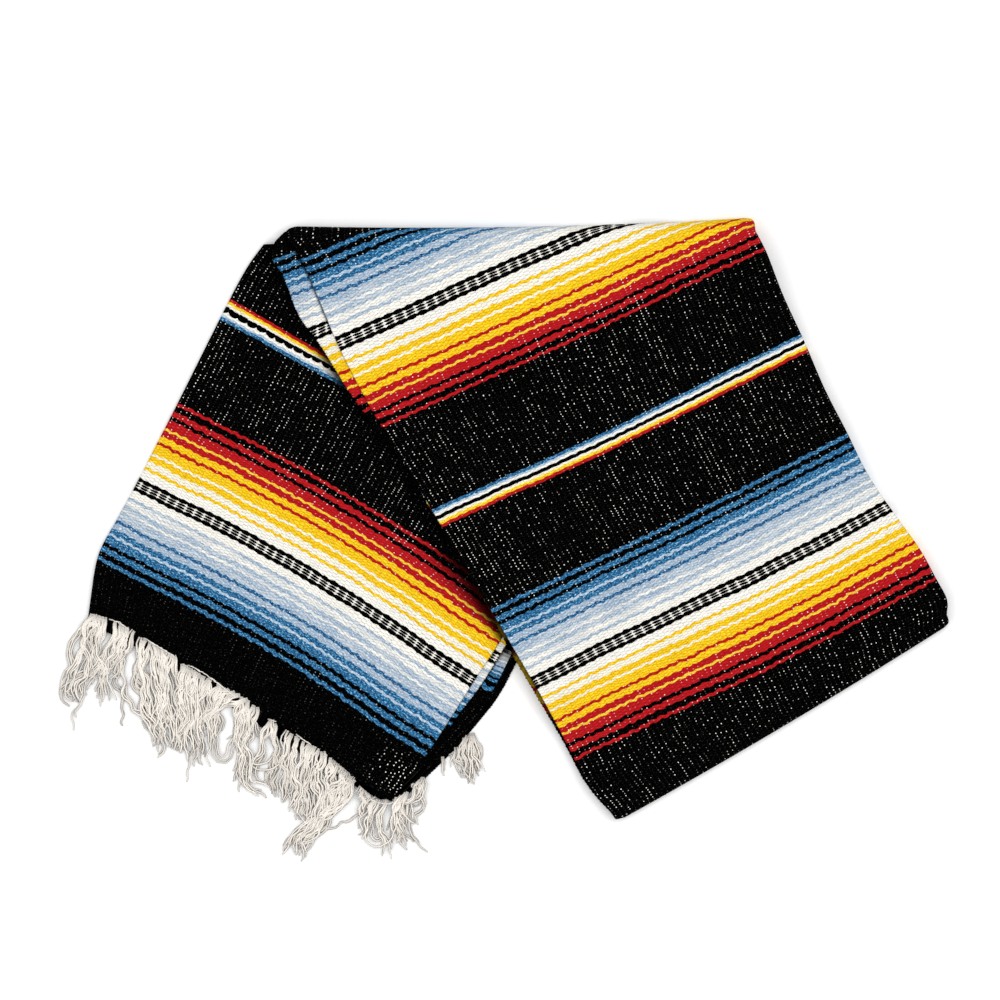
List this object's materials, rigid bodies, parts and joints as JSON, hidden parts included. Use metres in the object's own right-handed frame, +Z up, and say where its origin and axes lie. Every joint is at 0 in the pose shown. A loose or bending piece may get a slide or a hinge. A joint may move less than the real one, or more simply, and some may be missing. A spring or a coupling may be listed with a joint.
{
  "type": "folded mexican serape",
  "caption": "Striped woven serape blanket with warp fringe, folded lengthwise, bent over into a V and laid flat on a surface.",
  "frame": {"origin": "middle of the bottom of the bounding box, on the surface the serape lies on", "axes": "+X to the right leg of the V, +Y from the fringed hem towards the top fold, +Z up from the surface"},
  "size_m": [0.8861, 0.6481, 0.0276],
  "materials": {
    "cloth": "matte weft-faced plain weave with coloured stripe bands",
    "fringe": "matte undyed cotton yarn"
  },
  "bodies": {
    "root": {"left_stretch": "cloth", "left_layers": "cloth", "right_stretch": "cloth", "right_layers": "cloth", "fringe_front": "fringe", "fringe_back": "fringe"}
  },
  "joints": []
}
